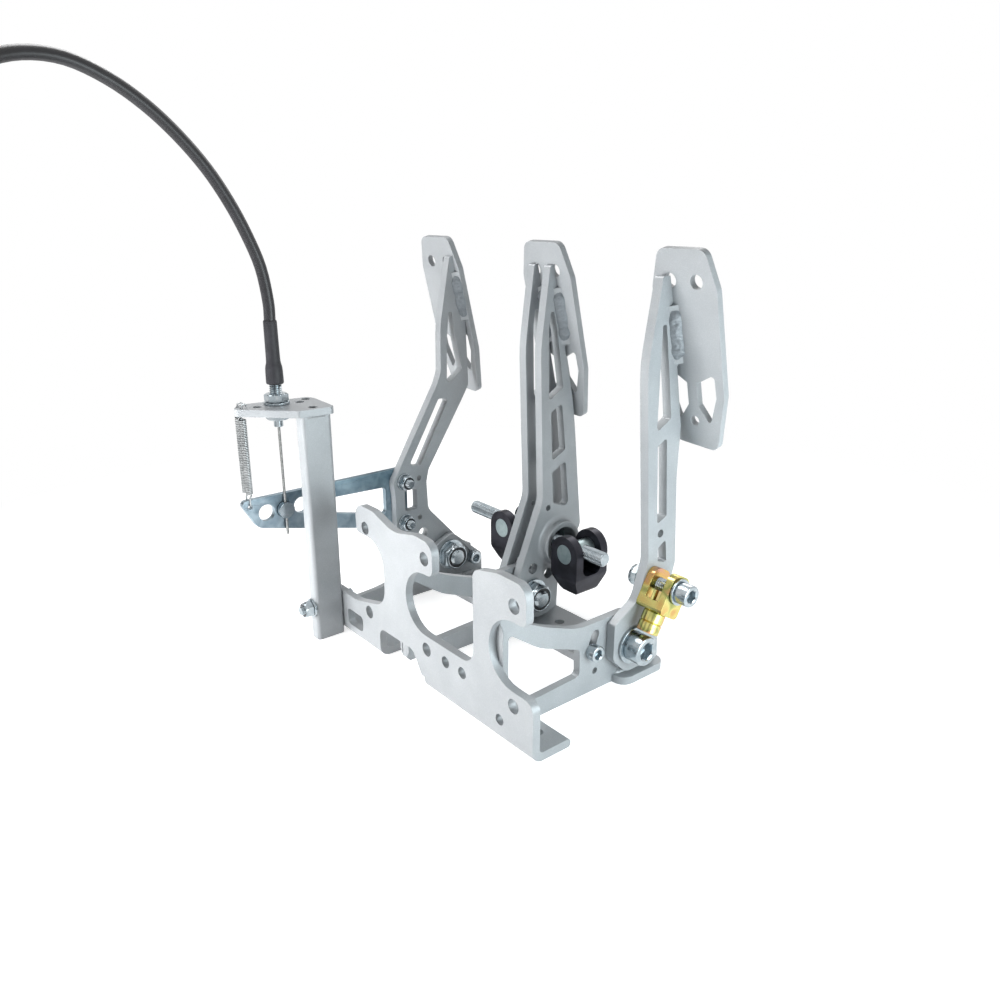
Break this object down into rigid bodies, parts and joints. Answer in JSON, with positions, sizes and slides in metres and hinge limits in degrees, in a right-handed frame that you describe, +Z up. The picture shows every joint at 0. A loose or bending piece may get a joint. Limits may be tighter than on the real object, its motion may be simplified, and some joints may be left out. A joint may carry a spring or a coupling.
{
  "type": "sim racing pedal set",
  "caption": "Floor-mounted racing pedal set: clutch, balance-bar brake and cable throttle on a laser-cut steel frame, with holes for master cylinders.",
  "frame": {"origin": "on the floor, under the pedals' pivot axis, in the middle of the brake pedal", "axes": "+X to the driver's right, +Y to the front of the car, where the master cylinders bolt on, +Z up"},
  "size_m": [0.2932, 0.4669, 0.3434],
  "materials": {
    "powder_coat": "silver-grey powder coat with a fine grain",
    "zinc_plate": "bluish zinc plating on laser-cut steel",
    "zinc_fastener": "bright zinc plating",
    "yellow_zinc": "yellow passivated zinc",
    "black_oxide": "black oxide, slightly oily",
    "bearing_steel": "ground bearing steel",
    "bronze": "sintered bronze",
    "black_rubber": "matt black rubber",
    "black_sheath": "black extruded cable sheath with a soft sheen",
    "wire_rope": "stranded steel wire",
    "spring_steel": "zinc-plated spring wire"
  },
  "bodies": {
    "frame": {"front_plate": "powder_coat", "clutch_rib": "powder_coat", "brake_rib": "powder_coat", "throttle_rib": "powder_coat", "rear_foot_plate": "powder_coat", "tower_tube": "powder_coat", "tower_top_plate": "powder_coat", "tower_bolt": "zinc_fastener", "tower_nut": "zinc_fastener", "pivot_bolts": "zinc_fastener", "pivot_nuts": "zinc_fastener", "pivot_washers": "zinc_fastener", "stop_bolts": "zinc_fastener", "stop_nuts": "zinc_fastener", "cable_adjuster": "zinc_fastener", "adjuster_nuts": "zinc_fastener", "adjuster_washer": "zinc_fastener", "cable_boot": "black_rubber", "throttle_cable": "black_sheath", "throttle_cable_coil": "black_sheath", "cable_end_sleeve": "zinc_fastener", "cable_end_wire": "wire_rope", "inner_wire": "wire_rope", "return_springs": "spring_steel", "upper_spring_hooks": "spring_steel"},
    "clutch_pedal": {"clutch_arm": "powder_coat", "clutch_pad": "powder_coat", "clutch_bush": "bronze", "clevis_bolt": "zinc_fastener", "clevis_nut": "zinc_fastener", "clevis_washers": "zinc_fastener"},
    "clutch_clevis_body": {"clutch_clevis": "yellow_zinc", "clevis_lock_nut": "yellow_zinc", "clevis_adaptor": "yellow_zinc"},
    "brake_pedal": {"brake_arm_left": "powder_coat", "brake_arm_right": "powder_coat", "brake_pad": "powder_coat", "brake_bushes": "bronze", "balance_tube": "powder_coat", "bearing_race": "bearing_steel"},
    "ball": {"bearing_ball": "bearing_steel"},
    "bar": {"balance_bar": "zinc_fastener", "balance_trunnions": "bearing_steel"},
    "left_clevis": {"balance_clevis_left": "black_oxide"},
    "right_clevis": {"balance_clevis_right": "black_oxide"},
    "throttle_pedal": {"throttle_arm": "powder_coat", "throttle_pad": "powder_coat", "throttle_bush": "bronze", "throttle_lever": "zinc_plate", "lever_bolts": "zinc_fastener", "lever_nuts": "zinc_fastener", "cable_clamp": "zinc_fastener", "clamp_wire_end": "wire_rope", "lower_spring_hooks": "spring_steel"}
  },
  "joints": [
    {"name": "clutch_press", "type": "hinge", "parent": "frame", "child": "clutch_pedal", "pos_m": [-0.097, 0, 0.0248], "axis": [-1, 0, 0], "range_deg": [0, 35]},
    {"name": "clutch_clevis_swing", "type": "hinge", "parent": "clutch_pedal", "child": "clutch_clevis_body", "pos_m": [-0.1098, -0.016, 0.0615], "axis": [1, 0, 0], "range_deg": [0, 75]},
    {"name": "brake_press", "type": "hinge", "parent": "frame", "child": "brake_pedal", "pos_m": [0, 0, 0.0248], "axis": [-1, 0, 0], "range_deg": [0, 25]},
    {"name": "balance_bar_rock", "type": "hinge", "parent": "brake_pedal", "child": "ball", "pos_m": [0, -0.022, 0.0585], "axis": [0, 0, 1], "range_deg": [-6, 6]},
    {"name": "balance_bar_turn", "type": "hinge", "parent": "ball", "child": "bar", "pos_m": [0, -0.022, 0.0585], "axis": [1, 0, 0], "range_deg": [-10, 95]},
    {"name": "left_clevis_swing", "type": "hinge", "parent": "bar", "child": "left_clevis", "pos_m": [0.03175, -0.022, 0.0585], "axis": [0, 1, 0], "range_deg": [-6, 6]},
    {"name": "right_clevis_swing", "type": "hinge", "parent": "bar", "child": "right_clevis", "pos_m": [-0.03175, -0.022, 0.0585], "axis": [0, 1, 0], "range_deg": [-6, 6]},
    {"name": "throttle_press", "type": "hinge", "parent": "frame", "child": "throttle_pedal", "pos_m": [0.091, 0, 0.0248], "axis": [-1, 0, 0], "range_deg": [0, 18], "stiffness_Nm_per_rad": 1.5, "springref_deg": -17.19, "deforming": ["inner_wire", "return_springs"]}
  ]
}
